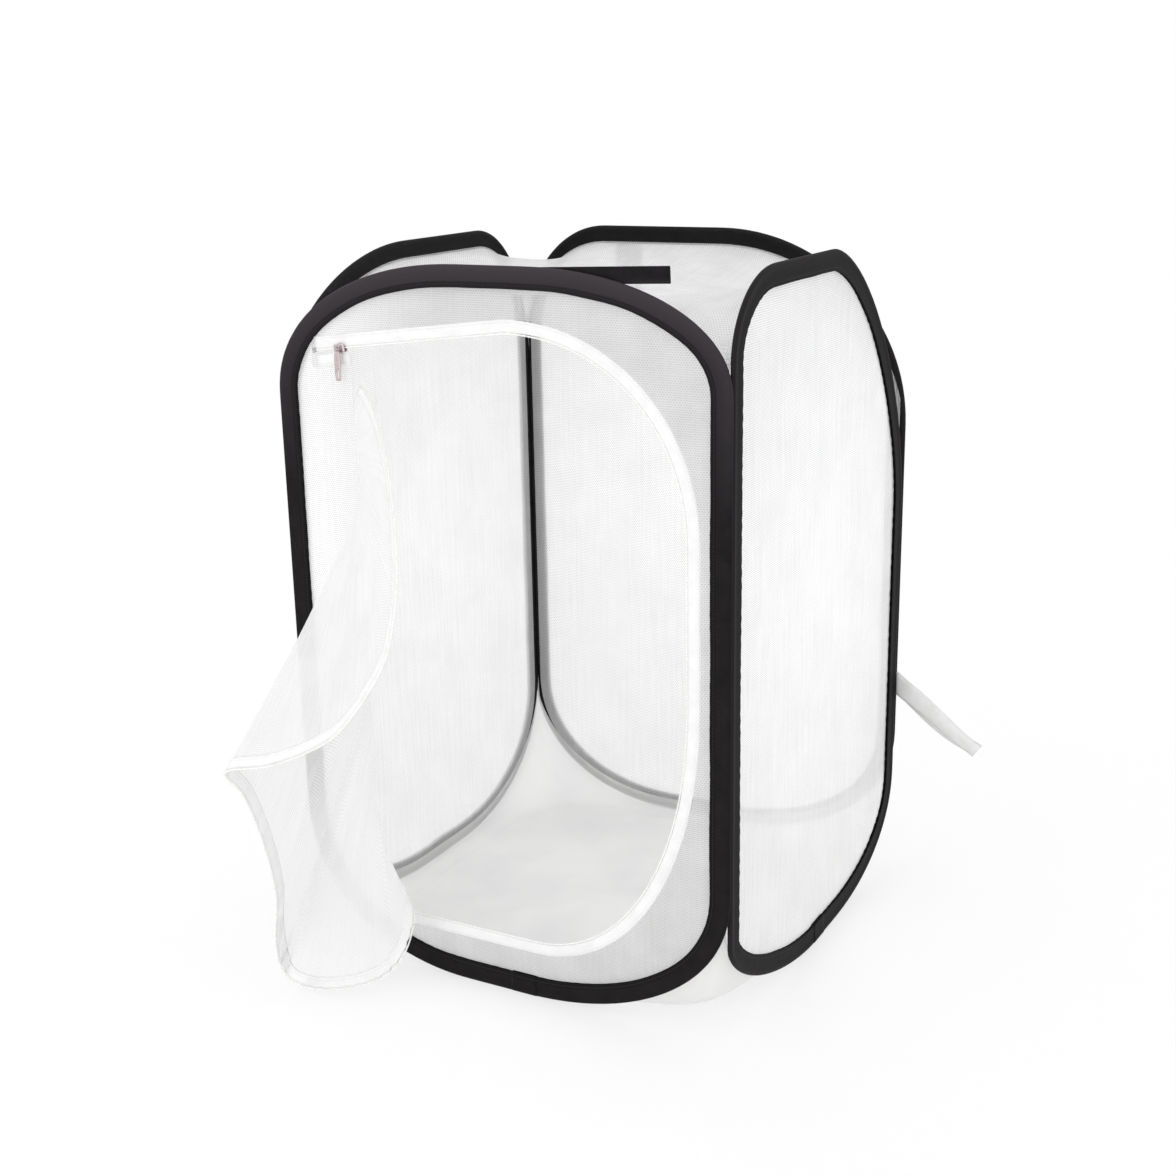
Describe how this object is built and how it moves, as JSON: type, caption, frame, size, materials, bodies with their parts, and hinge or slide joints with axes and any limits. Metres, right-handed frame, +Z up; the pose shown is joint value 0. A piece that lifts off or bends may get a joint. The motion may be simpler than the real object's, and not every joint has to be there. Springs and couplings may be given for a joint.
{
  "type": "pop-up insect cage",
  "caption": "Pop-up mesh insect cage with tape-bound wire hoops, a mesh top, a cloth floor, a zipped front door hanging open, two webbing straps and a tie ribbon.",
  "frame": {"origin": "middle of the floor sheet's underside, where the cage stands on the ground", "axes": "+Z up, +X to the right of someone who faces the door, -Y out through the door"},
  "size_m": [0.4873, 0.591, 0.6032],
  "materials": {
    "binding_tape": "matte woven",
    "spring_steel": "drawn wire",
    "mesh_net": "fine knitted net",
    "floor_cloth": "plain weave",
    "zip_tape": "ribbed weave",
    "zip_coil": "satin",
    "nickel": "satin plated",
    "webbing": "matte woven",
    "hook_and_loop": "napped",
    "ribbon": "satin ribbon"
  },
  "bodies": {
    "front": {"front_wire": "spring_steel", "front_wire_ferrule": "spring_steel", "front_binding_tape": "binding_tape", "front_mesh_panel": "mesh_net", "front_zip_tape": "zip_tape", "zip_slit_tape": "zip_tape", "front_zip_coil": "zip_coil", "zip_top_stop": "nickel", "zip_bottom_stop": "nickel", "top_sheet": "mesh_net", "floor_sheet": "floor_cloth", "front_right_seam": "binding_tape", "front_left_seam": "binding_tape"},
    "right": {"right_wire": "spring_steel", "right_wire_ferrule": "spring_steel", "right_binding_tape": "binding_tape", "right_mesh_panel": "mesh_net", "back_right_seam": "binding_tape"},
    "back": {"back_wire": "spring_steel", "back_wire_ferrule": "spring_steel", "back_binding_tape": "binding_tape", "back_mesh_panel": "mesh_net", "back_left_seam": "binding_tape"},
    "left": {"left_wire": "spring_steel", "left_wire_ferrule": "spring_steel", "left_binding_tape": "binding_tape", "left_mesh_panel": "mesh_net"},
    "door": {"door_flap": "mesh_net", "door_zip_tape": "zip_tape", "door_zip_coil": "zip_coil"},
    "slider": {"zip_slider": "nickel"},
    "pull": {"zip_pull": "nickel"},
    "strap_on_front": {"front_strap": "webbing", "front_strap_patch": "hook_and_loop"},
    "strap_on_back": {"back_strap": "webbing", "back_strap_patch": "hook_and_loop"},
    "ribbon": {"tie_ribbon": "ribbon"}
  },
  "joints": [
    {"name": "right_fold", "type": "hinge", "parent": "front", "child": "right", "pos_m": [0.1944, -0.1944, 0], "axis": [0, 0, 1], "range_deg": [0, 84], "stiffness_Nm_per_rad": 0.05, "deforming": ["top_sheet", "floor_sheet"]},
    {"name": "left_fold", "type": "hinge", "parent": "front", "child": "left", "pos_m": [-0.2, -0.2, 0], "axis": [0, 0, 1], "range_deg": [0, 84], "deforming": ["top_sheet", "floor_sheet"]},
    {"name": "back_fold", "type": "hinge", "parent": "right", "child": "back", "pos_m": [0.2, 0.2, 0], "axis": [0, 0, 1], "range_deg": [-84, 0], "deforming": ["top_sheet", "floor_sheet"]},
    {"name": "door_swing", "type": "hinge", "parent": "front", "child": "door", "pos_m": [-0.128, -0.198, 0], "axis": [0, 0, 1], "range_deg": [-60, 40], "deforming": ["door_flap", "door_zip_tape", "door_zip_coil"]},
    {"name": "zip_slide", "type": "slide", "parent": "front", "child": "slider", "axis": [0.9929, 0, 0.1189], "range_m": [-0.018, 0.144]},
    {"name": "pull_swing", "type": "hinge", "parent": "slider", "child": "pull", "pos_m": [-0.137, -0.2029, 0.53192], "axis": [-1, 0, 0], "range_deg": [-5, 160]},
    {"name": "front_strap_lift", "type": "hinge", "parent": "front", "child": "strap_on_front", "pos_m": [-0.03, -0.1957, 0.5905], "axis": [0, -1, 0], "range_deg": [0, 90]},
    {"name": "back_strap_lift", "type": "hinge", "parent": "back", "child": "strap_on_back", "pos_m": [-0.083, 0.2011, 0.5935], "axis": [1, 0, 0], "range_deg": [0, 150]},
    {"name": "ribbon_swing", "type": "hinge", "parent": "right", "child": "ribbon", "pos_m": [0.2, 0.2, 0.176], "axis": [0, 0, 1], "range_deg": [0, 75]}
  ],
  "couplings": [
    {"joint": "left_fold", "follows": "right_fold", "ratio": 1},
    {"joint": "back_fold", "follows": "right_fold", "ratio": -1}
  ]
}
